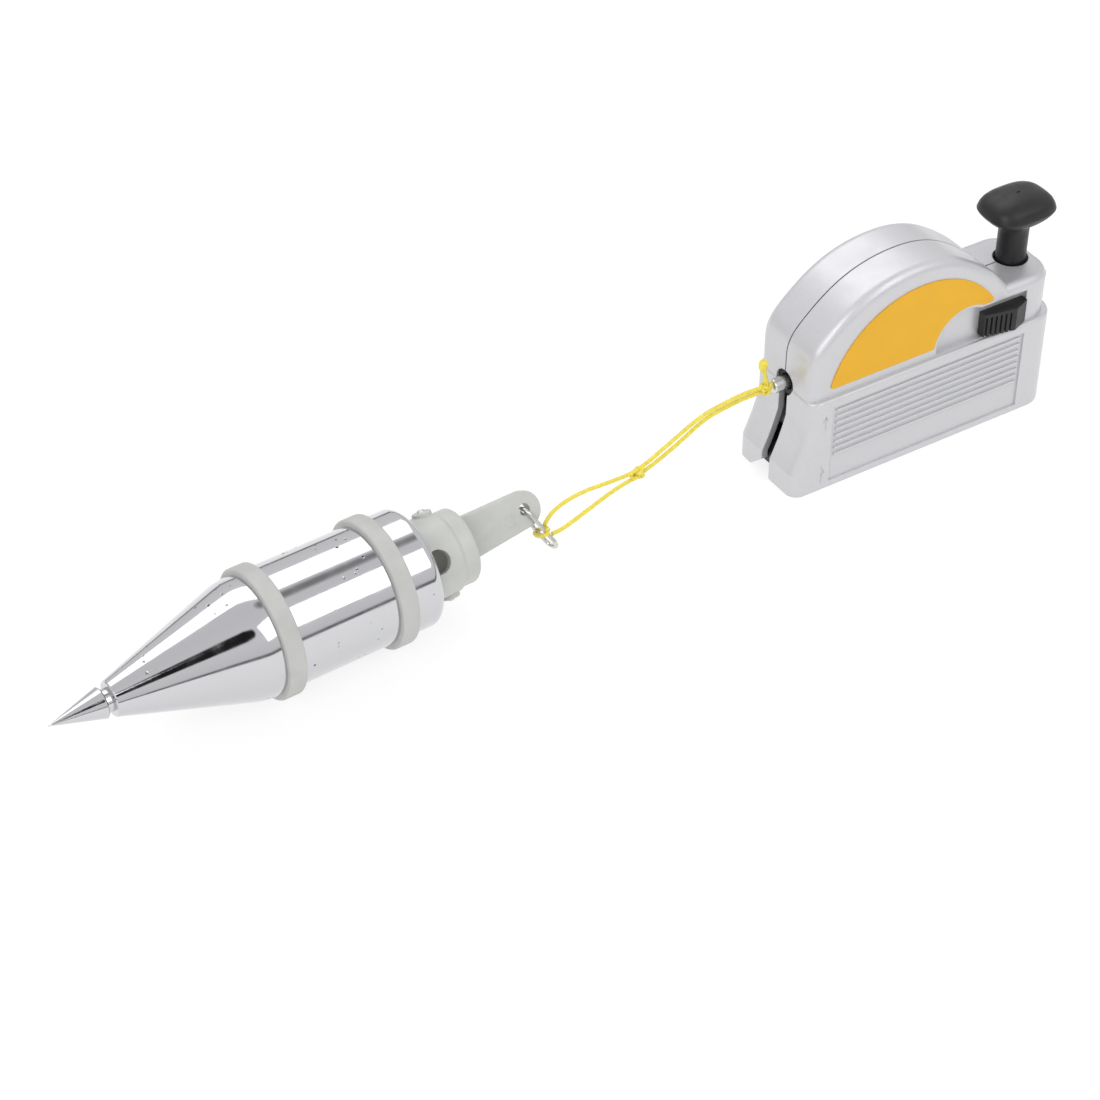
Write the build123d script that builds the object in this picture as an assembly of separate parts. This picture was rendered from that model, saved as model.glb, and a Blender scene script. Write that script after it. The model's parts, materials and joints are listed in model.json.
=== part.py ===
from build123d import *

import os
from math import atan2, cos, degrees, hypot, pi, radians, sin, sqrt, tan

os.makedirs("parts", exist_ok=True)

# ---------------------------------------------------------------------------
# Driving dimensions, in millimetres.
# Frame: origin at the centre of the setter's magnet foot, +Z up from the foot,
# +X from the bob's tip towards the back of the setter, y = 0 on the split plane.
# ---------------------------------------------------------------------------

# setter case
FOOT_LENGTH = 88.0
FOOT_WIDTH = 26.0
TOE_HEIGHT = 7.0
NOSE_SETBACK = 4.5
NOSE_HOLLOW = 2.6
NOSE_STRAIGHT_Z = 20.0
BLOCK_HEIGHT = 29.3
UPPER_INSET = 1.3
DOME_FROM_TOE = 37.0
DOME_BASE_Z = 25.3
DOME_FRONT = 32.2
DOME_SIDE_TOP_Z = 38.5
DOME_CROWN = [(-27.4, 48.2), (-15.5, 57.0), (1.0, 60.7), (16.0, 57.3), (27.0, 49.6)]
DOME_BACK = (37.0, 38.8)
DOME_EDGE_ROUND = 3.0
TOWER_TOP_Z = 42.8
TOWER_BACK_INSET = 1.2
TOWER_CORNER_ROUND = 8.0
TOWER_TOP_ROUND = 2.4
BLOCK_BACK_ROUND = 7.5
BLOCK_NOSE_ROUND = 3.5
BLOCK_TOP_ROUND = 0.9
WALL = 2.0
INNER_ROUND = 5.0
NOSE_ROOM = 4.6
SLOT_WIDTH = 3.6
EXIT_HOLE_RADIUS = 3.75
LINE_HEIGHT = 29.6
GROOVE_WIDTH = 0.3
GROOVE_DEPTH = 0.35
FLARE_HEIGHT = 4.4
FLARE_REACH = 6.6
FLARE_DEPTH = 7.0

# grip panel
PANEL_FROM_TOE = 11.8
PANEL_FROM_BACK = 11.9
PANEL_Z0 = 1.9
PANEL_Z1 = 26.3
PANEL_DEPTH = 0.5
RIB_COUNT = 8
RIB_PITCH = 2.1
RIB_WIDTH = 0.9

# label
LABEL_RADIUS = 29.8
LABEL_FROM_DOME = 2.8
LABEL_CENTRE_Z = 25.0
LABEL_BASE_Z = 32.0
LABEL_THICKNESS = 0.3
LABEL_GAP = 1.0
LABEL_CORNER = 0.9

# line lock
TRACK_FROM_DOME = 19.0
TRACK_Z = 31.3
TRACK_ROUND = 9.7
TRACK_LENGTH = 20.4
TRACK_TOP_Z = 39.7
TRACK_BASE_Z = 29.6
TRACK_DEPTH = 1.5
PAD_THICKNESS = 1.5
LOCK_TRAVEL = 5.8
LOCK_CLEARANCE = 0.1
BUTTON_FROM_TRACK = 5.4
BUTTON_LENGTH = 14.5
BUTTON_APEX = 9.6
BUTTON_Z0 = 30.3
BUTTON_Z1 = 37.4
BUTTON_PROUD = 1.0
APEX_PROUD = 3.0
BUTTON_RIBS = 6
BUTTON_GROOVE = 0.6
STEM_FROM_TRACK = 12.1
STEM_LENGTH = 4.0
STEM_Z0 = 33.2
STEM_HEIGHT = 3.2
BRAKE_GAP = 0.15
BRAKE_THICKNESS = 3.0
BRAKE_HEIGHT = 9.0
PLATE_THICKNESS = 1.0
PLATE_Z0 = 30.8
PLATE_Z1 = 37.2
LEAF_THICKNESS = 0.3
LEAF_DROP = 1.6
LEAF_WIDTH = 1.2

# line reel
REEL_Z = 32.0
FLANGE_RADIUS = 22.5
FLANGE_THICKNESS = 1.2
SPOOL_SIDE_ROOM = 4.9
HUB_RADIUS = 14.0
HUB_WALL = 1.4
AXLE_RADIUS = 3.0
RUNNING_CLEARANCE = 0.05
AXLE_BOSS_RADIUS = 5.5
AXLE_SOCKET_DEPTH = 1.4
WASHER_THICKNESS = 0.6
WASHER_RADIUS = 5.4
SIDE_CLEARANCE = 0.1
LINE_DIAMETER = 1.3
LINE_LENGTH = 3000.0
SPRING_STRIP = 0.3
SPRING_TURNS = 7

# nose fittings
GUIDE_BORE_RADIUS = 2.4
GUIDE_LENGTH = 4.6
GUIDE_RECESS = 1.0
FERRULE_RADIUS = 2.0
FERRULE_LENGTH = 6.8
FERRULE_PROUD = 3.8
DRAWN_LENGTH = 2.5

# plunger
PLUNGER_FROM_BACK = 7.2
PLUNGER_HOLE_RADIUS = 4.9
SHAFT_RADIUS = 4.2
SHAFT_BOTTOM_Z = 26.0
HEAD_BOTTOM_Z = 55.2
HEAD_HEIGHT = 8.4
HEAD_HALF_LENGTH = 10.3
HEAD_HALF_WIDTH = 8.2
HEAD_CORNER = 6.5
HEAD_ROUND = 3.2
PLUNGER_BUSH_RADIUS = 6.4
PLUNGER_BUSH_HEIGHT = 6.0
SHAFT_CLEARANCE = 0.08
CLIP_THICKNESS = 1.0
CLIP_RADIUS = 5.9
CLIP_GROOVE = 0.6
PIN_HOLDER_RADIUS = 2.4
PIN_HOLDER_LENGTH = 6.0
PIN_RADIUS = 0.9
PIN_TIP_Z = 1.0
PIN_POINT = 3.0
FOOT_BUSH_RADIUS = 3.0
FOOT_BUSH_TOP_Z = 8.0
FOOT_BUSH_FLANGE = 4.6
PIN_CLEARANCE = 0.1
SPRING_WIRE = 0.6
SPRING_RADIUS = 3.45
SPRING_COILS = 8

# magnet foot
MAGNET_FROM_TOE = 4.2
MAGNET_FROM_PLUNGER = 9.6
MAGNET_SIDE_ROOM = 5.4
MAGNET_HEIGHT = 8.6
POLE_THICKNESS = 1.8
MAGNET_COUNT = 3
MAGNET_SPACER = 1.0
MAGNET_RECESS = 0.3

# case screws
SCREW_FROM_DOME = [(-26.0, 12.5), (28.0, 12.5), (-24.0, 45.0), (24.0, 45.0)]
POST_RADIUS = 2.7
SCREW_RADIUS = 1.2
SCREW_HOLE_CLEARANCE = 0.2
SCREW_HEAD_RADIUS = 2.2
SCREW_HEAD_HEIGHT = 1.6
SCREW_SEAT_DEPTH = 3.1
SCREW_LENGTH = 15.0

# bob
BOB_TIP_X = -255.7
BOB_TIP_Y = -5.85
BOB_HEADING = 3.0
BOB_ROLL = 56.0
BOB_RADIUS = 15.9
BAND_PROUD = 1.6
TIP_LENGTH = 14.6
TIP_RADIUS = 4.1
NECK_LENGTH = 1.8
NECK_RADIUS = 3.1
CONE_SMALL_RADIUS = 4.7
CONE_END_S = 55.0
CONE_BLEND_S = 49.0
CONE_CORNER_S = 52.5
CONE_CHAMFER = 0.3
BAND_WIDTH = 4.9
BAND_SEAT = 0.7
FRONT_BAND_S = 56.2
REAR_BAND_S = 88.6
BODY_END_S = 102.4
SHOULDER_ROUND = 2.6
TIP_STUD_RADIUS = 2.0
TIP_STUD_LENGTH = 8.0

# cap and gimbal
PIVOT_S = 109.2
TONGUE_PIN_S = 104.6
CAP_FRONT_RADIUS = 11.0
CAP_REAR_RADIUS = 10.1
CAP_INNER_RADIUS = 9.0
CAP_NECK_RADIUS = 9.9
CAP_NECK_DEPTH = 6.0
CAP_END_S = 116.6
CAP_END_ROUND = 1.0
RECESS_DEPTH = 7.0
BORE_RADIUS = 9.0
BORE_DEPTH = 20.0
WINDOW_RADIUS = 3.2
BOSS_RADIUS = 2.6
BOSS_PROUD = 0.7
CAP_PIN_RADIUS = 1.1
CAP_PIN_PROUD = 0.6
RING_FRONT = 8.3
RING_BACK = 3.5
RING_HALF_Y = 6.6
RING_HALF_Z = 4.6
RING_WALL_Y = 1.8
RING_WALL_Z = 1.6
TONGUE_PIN_RADIUS = 1.2
TONGUE_PIN_PROUD = 2.2
TONGUE_THICKNESS = 3.0
TONGUE_ROOT_HALF = 3.2
TONGUE_HALF_WIDE = 5.85
TONGUE_WIDE_AT = 12.2
TONGUE_NARROW_AT = 9.4
TONGUE_END_HALF = 4.9
TONGUE_HOLE_AT = 31.7
TONGUE_HOLE_RADIUS = 1.6
TONGUE_TILT = 3.4
TILT_WASHER_RADIUS = 2.6

# wire link
LINK_WIRE = 1.1
LINK_REACH = 13.6
LINK_HALF_GAP = 2.25
LINK_DROOP = 66.0
LINK_WIRE_GAP = 0.3

# leader cord: two strands from the nose knot, through the middle knot, to the link
CORD_DIAMETER = 1.3
UPPER_ROUTE = [
    (-46.5, 0.0, 30.6), (-51.5, 0.1, 30.9), (-57.5, 0.0, 30.4), (-65.8, -0.2, 29.4), (-75.5, -0.5, 24.8),
    (-86.4, -1.0, 19.8), (-95.4, -1.4, 20.2), (-103.6, -1.7, 20.9), (-110.2, -1.9, 19.9),
    (-114.3, -1.8, 17.3), (-115.2, -1.5, 14.5),
]
LOWER_ROUTE = [
    (-46.5, 0.0, 29.2), (-51.5, 0.0, 29.4), (-57.5, -0.1, 28.9), (-65.2, -0.3, 27.9), (-74.4, -0.6, 22.7),
    (-86.0, -1.1, 18.2), (-92.9, -1.3, 17.2), (-100.4, -1.8, 14.9), (-106.9, -2.4, 13.0),
    (-111.2, -3.0, 12.2), (-114.0, -3.4, 12.5),
]
NOSE_KNOT_AT = (-45.4, 0.0, 29.9)
NOSE_KNOT_RADIUS = 2.1
TAIL_TOP = (-46.6, 0.0, 38.6)
TAIL_BULB_RADIUS = 1.4
MIDDLE_KNOT_AT = (-86.2, -1.05, 19.0)
MIDDLE_KNOT_RADII = (3.0, 2.0, 2.1)
HITCH_AT = 8.2
HITCH_GAP = 0.05

# ---------------------------------------------------------------------------
# Derived sizes
# ---------------------------------------------------------------------------
FOOT_X0 = -FOOT_LENGTH / 2
FOOT_X1 = FOOT_LENGTH / 2
HALF_WIDTH = FOOT_WIDTH / 2
UPPER_HALF = HALF_WIDTH - UPPER_INSET
NOSE_X = FOOT_X0 + NOSE_SETBACK
TOWER_X1 = FOOT_X1 - TOWER_BACK_INSET
DOME_X = FOOT_X0 + DOME_FROM_TOE
REEL_X = DOME_X
PANEL_X0 = FOOT_X0 + PANEL_FROM_TOE
PANEL_X1 = FOOT_X1 - PANEL_FROM_BACK
TRACK_X = DOME_X + TRACK_FROM_DOME
TRACK_END_X = TRACK_X + TRACK_LENGTH
BUTTON_X0 = TRACK_X + BUTTON_FROM_TRACK
BUTTON_X1 = BUTTON_X0 + BUTTON_LENGTH
STEM_X0 = TRACK_X + STEM_FROM_TRACK
PLUNGER_X = TOWER_X1 - PLUNGER_FROM_BACK
MAGNET_X0 = FOOT_X0 + MAGNET_FROM_TOE
MAGNET_X1 = PLUNGER_X - MAGNET_FROM_PLUNGER
MAGNET_HALF_WIDTH = HALF_WIDTH - MAGNET_SIDE_ROOM
SCREW_PLACES = [(DOME_X + dx, z) for dx, z in SCREW_FROM_DOME]
SCREW_SEAT_Y = UPPER_HALF - SCREW_SEAT_DEPTH
SPOOL_HALF_WIDTH = UPPER_HALF - SPOOL_SIDE_ROOM
FERRULE_TIP_X = NOSE_X - FERRULE_PROUD
TRACK_FLOOR_Y = -UPPER_HALF + TRACK_DEPTH
PAD_Y = -UPPER_HALF + WALL + PAD_THICKNESS
FLANGE_INNER = SPOOL_HALF_WIDTH - FLANGE_THICKNESS
PACK_RADIUS = sqrt(HUB_RADIUS**2 + LINE_LENGTH * LINE_DIAMETER**2 / (pi * 2 * FLANGE_INNER))
CAVITY_RADIUS = HUB_RADIUS - HUB_WALL
BOSS_FACE = SPOOL_HALF_WIDTH + 2 * SIDE_CLEARANCE + WASHER_THICKNESS
BUSH_TOP_Z = TOWER_TOP_Z - WALL
SHELF_Z = BUSH_TOP_Z - PLUNGER_BUSH_HEIGHT
DRAWN_X0 = FERRULE_TIP_X + FERRULE_LENGTH
LEAD_X0 = DRAWN_X0 + DRAWN_LENGTH
BRAKE_RADIUS = FLANGE_RADIUS + BRAKE_GAP

BAND_RADIUS = BOB_RADIUS + BAND_PROUD

# Bob frame: x along the bob from its tip, z towards the round window in the cap.
HEADING = radians(BOB_HEADING)
ROLL = radians(BOB_ROLL)
BOB_PLACE = Plane(
    origin=(BOB_TIP_X, BOB_TIP_Y, BAND_RADIUS),
    x_dir=(cos(HEADING), sin(HEADING), 0),
    z_dir=(sin(ROLL) * sin(HEADING), -sin(ROLL) * cos(HEADING), cos(ROLL)),
).location
TONGUE_PLACE = BOB_PLACE * Pos(TONGUE_PIN_S, 0, 0) * Rot(0, 0, TONGUE_TILT)
LINK_PLACE = TONGUE_PLACE * Pos(TONGUE_HOLE_AT, 0, 0) * Rot(0, 0, -TONGUE_TILT - LINK_DROOP)


# ---------------------------------------------------------------------------
# Small helpers
# ---------------------------------------------------------------------------
def slab(outline, y0, y1):
    """An outline drawn in x and z, thickened from y0 to y1."""
    return extrude(Plane.XZ.offset(-y1) * outline, amount=y1 - y0)


def rod_y(x, z, radius, y0, y1):
    return slab(Pos(x, z) * Circle(radius), y0, y1)


def rod_z(x, y, radius, z0, z1):
    return Pos(x, y, (z0 + z1) / 2) * Cylinder(radius, z1 - z0)


def rod_x(y, z, radius, x0, x1):
    return Pos((x0 + x1) / 2, y, z) * Rot(0, 90, 0) * Cylinder(radius, x1 - x0)


def block(x0, x1, y0, y1, z0, z1):
    return Pos((x0 + x1) / 2, (y0 + y1) / 2, (z0 + z1) / 2) * Box(x1 - x0, y1 - y0, z1 - z0)


def rect(x0, x1, z0, z1):
    return Pos((x0 + x1) / 2, (z0 + z1) / 2) * Rectangle(x1 - x0, z1 - z0)


def tube_between(a, b, radius):
    """A straight round bar from a to b."""
    a, b = Vector(*a), Vector(*b)
    plane = Plane(origin=a, z_dir=b - a)
    return extrude(plane * Circle(radius), amount=(b - a).length)


def turned(points):
    """A solid turned about x from (x, radius) corners that start and end on the axis."""
    return revolve(make_face(Polyline(*points, close=True)), Axis.X)


def save(name, *solids):
    part = solids[0] if len(solids) == 1 else Compound(children=list(solids))
    part.label = name
    export_step(part, f"parts/{name}.step")


# ---------------------------------------------------------------------------
# Setter case
# ---------------------------------------------------------------------------
def nose_profile():
    """The lower block seen from the side, with its sloping nose."""
    mid_z = (TOE_HEIGHT + NOSE_STRAIGHT_Z) / 2
    mid_x = FOOT_X0 + NOSE_HOLLOW
    edges = [
        Line((FOOT_X0, 0), (FOOT_X0, TOE_HEIGHT)),
        ThreePointArc((FOOT_X0, TOE_HEIGHT), (mid_x, mid_z), (NOSE_X, NOSE_STRAIGHT_Z)),
        Line((NOSE_X, NOSE_STRAIGHT_Z), (NOSE_X, BLOCK_HEIGHT)),
        Line((NOSE_X, BLOCK_HEIGHT), (FOOT_X1, BLOCK_HEIGHT)),
        Line((FOOT_X1, BLOCK_HEIGHT), (FOOT_X1, 0)),
        Line((FOOT_X1, 0), (FOOT_X0, 0)),
    ]
    return make_face(Wire(edges))


def foot_block():
    """The full-width lower block with rounded upright corners."""
    solid = slab(nose_profile(), -HALF_WIDTH, HALF_WIDTH)
    back = solid.edges().filter_by(Axis.Z).group_by(Axis.X)[-1]
    solid = fillet(back, BLOCK_BACK_ROUND)
    nose = [
        e for e in solid.edges()
        if e.center().X < NOSE_X + 0.1 and abs(abs(e.center().Y) - HALF_WIDTH) < 0.01
    ]
    solid = fillet(nose, BLOCK_NOSE_ROUND)
    top = solid.faces().sort_by(Axis.Z)[-1].edges()
    return fillet(top, BLOCK_TOP_ROUND)


def dome_outline(inset=0.0):
    """An upright front side, a crown that bulges forwards, and a slope down into the tower."""
    def pulled_in(x, z):
        keep = 1 - inset / hypot(x, z - DOME_BASE_Z)
        return x * keep, DOME_BASE_Z + (z - DOME_BASE_Z) * keep

    front = inset - DOME_FRONT
    back = pulled_in(*DOME_BACK)
    side_top = (front, DOME_SIDE_TOP_Z)
    crown = Spline(side_top, *[pulled_in(*p) for p in DOME_CROWN], back, tangents=[(0, 1), (1, -1.1)])
    edges = [
        Line((front, DOME_BASE_Z), side_top), crown,
        Line(back, (back[0], DOME_BASE_Z)), Line((back[0], DOME_BASE_Z), (front, DOME_BASE_Z)),
    ]
    return Pos(DOME_X, 0) * make_face(Wire(edges))


def dome():
    solid = slab(dome_outline(), -UPPER_HALF, UPPER_HALF)
    rims = [
        e for e in solid.edges()
        if abs(abs(e.center().Y) - UPPER_HALF) < 0.01 and e.center().Z > DOME_BASE_Z + 1
        and e.center().X < DOME_X + DOME_BACK[0] - 0.1
    ]
    return fillet(rims, DOME_EDGE_ROUND)


def tower():
    solid = block(DOME_X, TOWER_X1, -UPPER_HALF, UPPER_HALF, BLOCK_HEIGHT - 4, TOWER_TOP_Z)
    back = solid.edges().filter_by(Axis.Z).group_by(Axis.X)[-1]
    solid = fillet(back, TOWER_CORNER_ROUND)
    top = solid.faces().sort_by(Axis.Z)[-1].edges().filter_by(lambda e: e.center().X > DOME_X + 1)
    return fillet(top, TOWER_TOP_ROUND)


def prism_z(x0, x1, half, z0, z1, corner):
    """An upright box with rounded corners."""
    outline = Pos((x0 + x1) / 2, 0) * RectangleRounded(x1 - x0, 2 * half, corner)
    return extrude(Plane.XY.offset(z0) * outline, amount=z1 - z0)


def cavity():
    low = prism_z(NOSE_X + WALL + 1.5, FOOT_X1 - WALL, HALF_WIDTH - WALL, WALL,
                  BLOCK_HEIGHT - WALL, INNER_ROUND + 1)
    nose = slab(offset(nose_profile(), -WALL), NOSE_ROOM - HALF_WIDTH, HALF_WIDTH - NOSE_ROOM)
    round_part = slab(dome_outline(WALL), WALL - UPPER_HALF, UPPER_HALF - WALL)
    back = prism_z(DOME_X, TOWER_X1 - WALL, UPPER_HALF - WALL, BLOCK_HEIGHT - 4, BUSH_TOP_Z,
                   INNER_ROUND + 1.5)
    return low + nose + round_part + back


def grip_panel(side):
    """The recess in one face of the block, less the ribs that stand in it."""
    y0, y1 = sorted((side * HALF_WIDTH, side * (HALF_WIDTH - PANEL_DEPTH)))
    cut = block(PANEL_X0, PANEL_X1, y0, y1, PANEL_Z0, PANEL_Z1)
    for i in range(RIB_COUNT):
        z = PANEL_Z1 - RIB_PITCH * (i + 0.6)
        cut -= slab(Pos(0, z) * SlotOverall(PANEL_X1 - PANEL_X0 - 2, RIB_WIDTH), y0, y1)
    return cut


def track_outline(grow=0.0):
    """The lock's recessed track: a straight run with one big round end."""
    outline = Pos(TRACK_X, TRACK_Z) * Circle(TRACK_ROUND + grow)
    outline += rect(TRACK_X, TRACK_END_X + grow, TRACK_BASE_Z - grow, TRACK_TOP_Z + grow)
    return outline - rect(-60, 60, -10, TRACK_BASE_Z - grow)


def parting_groove():
    """The fine line where the two shells meet, along the nose, dome and tower."""
    deep = GROOVE_DEPTH
    outer = nose_profile() + dome_outline() + rect(DOME_X, TOWER_X1, TOE_HEIGHT, TOWER_TOP_Z)
    inner = offset(nose_profile(), -deep) + dome_outline(deep) + rect(
        DOME_X, TOWER_X1 - deep, TOE_HEIGHT, TOWER_TOP_Z - deep)
    return slab(outer - inner, -GROOVE_WIDTH / 2, GROOVE_WIDTH / 2)


def case_body():
    """Both halves of the case as one solid, before it is split."""
    body = foot_block() + dome() + tower() - cavity()
    # lock track: a pad inside carries the recess floor
    body += slab(track_outline() & rect(0, TRACK_END_X, 0, 60), TRACK_FLOOR_Y, PAD_Y)
    body -= slab(track_outline(), -UPPER_HALF - 1, TRACK_FLOOR_Y)
    window_x0 = STEM_X0 - LOCK_TRAVEL - 0.3
    window_x1 = STEM_X0 + STEM_LENGTH + 0.3
    body -= slab(rect(window_x0, window_x1, STEM_Z0 - 0.3, STEM_Z0 + STEM_HEIGHT + 0.3),
                 TRACK_FLOOR_Y - 1, PAD_Y + 1)
    # plunger guide: a shelf under the tower's top holds the bush
    shelf = prism_z(PLUNGER_X - 8.6, TOWER_X1 - 0.5, UPPER_HALF - 0.5, SHELF_Z - 1.5, BUSH_TOP_Z, 6)
    shelf -= slab(track_outline(), -UPPER_HALF, PAD_Y + PLATE_THICKNESS + 0.6)
    body += shelf & block(-50, TOWER_X1, -UPPER_HALF + 0.6, UPPER_HALF - 0.6, 0, 50)
    body -= rod_z(PLUNGER_X, 0, PLUNGER_BUSH_RADIUS, SHELF_Z, BUSH_TOP_Z)
    body -= rod_z(PLUNGER_X, 0, PLUNGER_HOLE_RADIUS, SHELF_Z - 3, TOWER_TOP_Z + 1)
    # reel axle bosses
    for y0, y1 in ((BOSS_FACE, UPPER_HALF - 1), (1 - UPPER_HALF, -BOSS_FACE)):
        body += rod_y(REEL_X, REEL_Z, AXLE_BOSS_RADIUS, y0, y1)
    body -= rod_y(REEL_X, REEL_Z, AXLE_RADIUS, -BOSS_FACE - AXLE_SOCKET_DEPTH,
                  BOSS_FACE + AXLE_SOCKET_DEPTH)
    # screw posts
    for x, z in SCREW_PLACES:
        body += rod_y(x, z, POST_RADIUS, 0.5 - UPPER_HALF, UPPER_HALF - 0.5)
    for x, z in SCREW_PLACES:
        body -= rod_y(x, z, SCREW_HEAD_RADIUS + SCREW_HOLE_CLEARANCE, SCREW_SEAT_Y, HALF_WIDTH + 1)
        body -= rod_y(x, z, SCREW_RADIUS + SCREW_HOLE_CLEARANCE, 0, SCREW_SEAT_Y)
        body -= rod_y(x, z, SCREW_RADIUS, SCREW_SEAT_Y - SCREW_LENGTH, 0)
    # nose: round exit, and the slot below it
    body -= rod_x(0, LINE_HEIGHT, EXIT_HOLE_RADIUS, FOOT_X0 - 1, NOSE_X + WALL + 4)
    body -= block(FOOT_X0 - 1, NOSE_X + WALL + 1.5, -SLOT_WIDTH / 2, SLOT_WIDTH / 2, -1, LINE_HEIGHT)
    # foot: magnet window and needle bush
    body -= block(MAGNET_X0, MAGNET_X1, -MAGNET_HALF_WIDTH, MAGNET_HALF_WIDTH, -1, WALL + 0.5)
    body += rod_z(PLUNGER_X, 0, FOOT_BUSH_FLANGE, 1, FOOT_BUSH_TOP_Z - 1.5) & block(
        0, FOOT_X1 - 1, -12, 12, 0, 20)
    body -= rod_z(PLUNGER_X, 0, FOOT_BUSH_RADIUS, -1, FOOT_BUSH_TOP_Z)
    for side in (-1, 1):
        body -= grip_panel(side)
    body -= parting_groove()
    flare = Polyline((0, FLARE_HEIGHT), (SLOT_WIDTH / 2, FLARE_HEIGHT), (FLARE_REACH, 0), (0, 0), close=True)
    flare = Plane(origin=(FOOT_X0 - 1, 0, 0), x_dir=(0, 1, 0), z_dir=(1, 0, 0)) * make_face(flare)
    return body - extrude(flare, amount=FLARE_DEPTH + 1)


def make_shells():
    body = case_body()
    save("front_shell", split(body, Plane.XZ, keep=Keep.TOP))
    save("rear_shell", split(body, Plane.XZ, keep=Keep.BOTTOM))


def make_label():
    outline = Pos(DOME_X + LABEL_FROM_DOME, LABEL_CENTRE_Z) * Circle(LABEL_RADIUS)
    outline -= rect(-60, 60, -20, LABEL_BASE_Z)
    outline -= track_outline(LABEL_GAP)
    rounded = offset(offset(outline, -LABEL_CORNER), LABEL_CORNER)
    save("label_plate", slab(rounded, -UPPER_HALF - LABEL_THICKNESS, -UPPER_HALF))


def make_screws():
    screws = []
    for x, z in SCREW_PLACES:
        head = rod_y(x, z, SCREW_HEAD_RADIUS, SCREW_SEAT_Y, SCREW_SEAT_Y + SCREW_HEAD_HEIGHT)
        head -= block(x - 1.7, x + 1.7, SCREW_SEAT_Y + 0.8, HALF_WIDTH, z - 0.35, z + 0.35)
        head -= block(x - 0.35, x + 0.35, SCREW_SEAT_Y + 0.8, HALF_WIDTH, z - 1.7, z + 1.7)
        screws.append(head + rod_y(x, z, SCREW_RADIUS, SCREW_SEAT_Y - SCREW_LENGTH, SCREW_SEAT_Y))
    save("case_screws", *screws)


def make_magnet_foot():
    inner = MAGNET_HALF_WIDTH - POLE_THICKNESS
    plates = [
        block(MAGNET_X0, MAGNET_X1, y, y + POLE_THICKNESS, 0, MAGNET_HEIGHT)
        for y in (-MAGNET_HALF_WIDTH, inner)
    ]
    save("pole_plates", *plates)
    pitch = (MAGNET_X1 - MAGNET_X0 + MAGNET_SPACER) / MAGNET_COUNT
    magnets = []
    for i in range(MAGNET_COUNT):
        x0 = MAGNET_X0 + i * pitch
        magnets.append(block(x0, x0 + pitch - MAGNET_SPACER, -inner, inner, 0,
                             MAGNET_HEIGHT - MAGNET_RECESS))
    save("magnets", *magnets)


# ---------------------------------------------------------------------------
# Line reel
# ---------------------------------------------------------------------------
def make_spool():
    solid = rod_y(REEL_X, REEL_Z, HUB_RADIUS, -SPOOL_HALF_WIDTH, SPOOL_HALF_WIDTH)
    for y in (-SPOOL_HALF_WIDTH, FLANGE_INNER):
        solid += rod_y(REEL_X, REEL_Z, FLANGE_RADIUS, y, y + FLANGE_THICKNESS)
    solid -= rod_y(REEL_X, REEL_Z, CAVITY_RADIUS, -FLANGE_INNER, SPOOL_HALF_WIDTH)
    solid -= rod_y(REEL_X, REEL_Z, AXLE_RADIUS + RUNNING_CLEARANCE, -10, 10)
    save("spool", solid)
    cover = rod_y(REEL_X, REEL_Z, CAVITY_RADIUS, FLANGE_INNER, SPOOL_HALF_WIDTH)
    cover -= rod_y(REEL_X, REEL_Z, AXLE_RADIUS + RUNNING_CLEARANCE, -10, 10)
    save("spool_cover", cover)
    save("reel_axle", rod_y(REEL_X, REEL_Z, AXLE_RADIUS, -BOSS_FACE - AXLE_SOCKET_DEPTH,
                            BOSS_FACE + AXLE_SOCKET_DEPTH))
    washers = []
    for y in (-SPOOL_HALF_WIDTH - SIDE_CLEARANCE - WASHER_THICKNESS, SPOOL_HALF_WIDTH + SIDE_CLEARANCE):
        ring = rod_y(REEL_X, REEL_Z, WASHER_RADIUS, y, y + WASHER_THICKNESS)
        washers.append(ring - rod_y(REEL_X, REEL_Z, AXLE_RADIUS, y, y + WASHER_THICKNESS))
    save("reel_washers", *washers)


def spiral(offset, inner, outer):
    """Points of a flat spiral about the reel's axis, in x and z."""
    points = []
    steps = SPRING_TURNS * 8
    for i in range(steps + 1):
        turn = i / steps
        angle = 2 * pi * SPRING_TURNS * turn
        r = inner + (outer - inner) * turn + offset
        points.append((REEL_X + r * cos(angle), REEL_Z + r * sin(angle)))
    return points


def make_mainspring():
    inner = AXLE_RADIUS + 0.6
    outer = CAVITY_RADIUS - SPRING_STRIP - 0.3
    low = spiral(0, inner, outer)
    high = spiral(SPRING_STRIP, inner, outer)
    edges = [Spline(*low), Line(low[-1], high[-1]), Spline(*high), Line(high[0], low[0])]
    strip = make_face(Wire(edges))
    save("mainspring", slab(strip, 0.2 - FLANGE_INNER, FLANGE_INNER - 0.2))


def make_wound_line():
    pack = rod_y(REEL_X, REEL_Z, PACK_RADIUS, -FLANGE_INNER, FLANGE_INNER)
    save("wound_line", pack - rod_y(REEL_X, REEL_Z, HUB_RADIUS, -10, 10))


def make_line_run():
    """The straight run from the top of the winding to the nose, and the piece in the ferrule."""
    reach = PACK_RADIUS + LINE_DIAMETER / 2 + RUNNING_CLEARANCE
    dx, dz = LEAD_X0 - REEL_X, LINE_HEIGHT - REEL_Z
    away = hypot(dx, dz)
    angle = atan2(dz, dx) - atan2(sqrt(away**2 - reach**2), reach)
    touch = (REEL_X + reach * cos(angle), 0, REEL_Z + reach * sin(angle))
    radius = LINE_DIAMETER / 2
    lead = tube_between((LEAD_X0, 0, LINE_HEIGHT), touch, radius)
    lead -= block(LEAD_X0 - 2, LEAD_X0, -2, 2, LINE_HEIGHT - 2, LINE_HEIGHT + 2)
    save("line_lead", lead)
    save("drawn_line", rod_x(0, LINE_HEIGHT, radius, DRAWN_X0, LEAD_X0))


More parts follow.
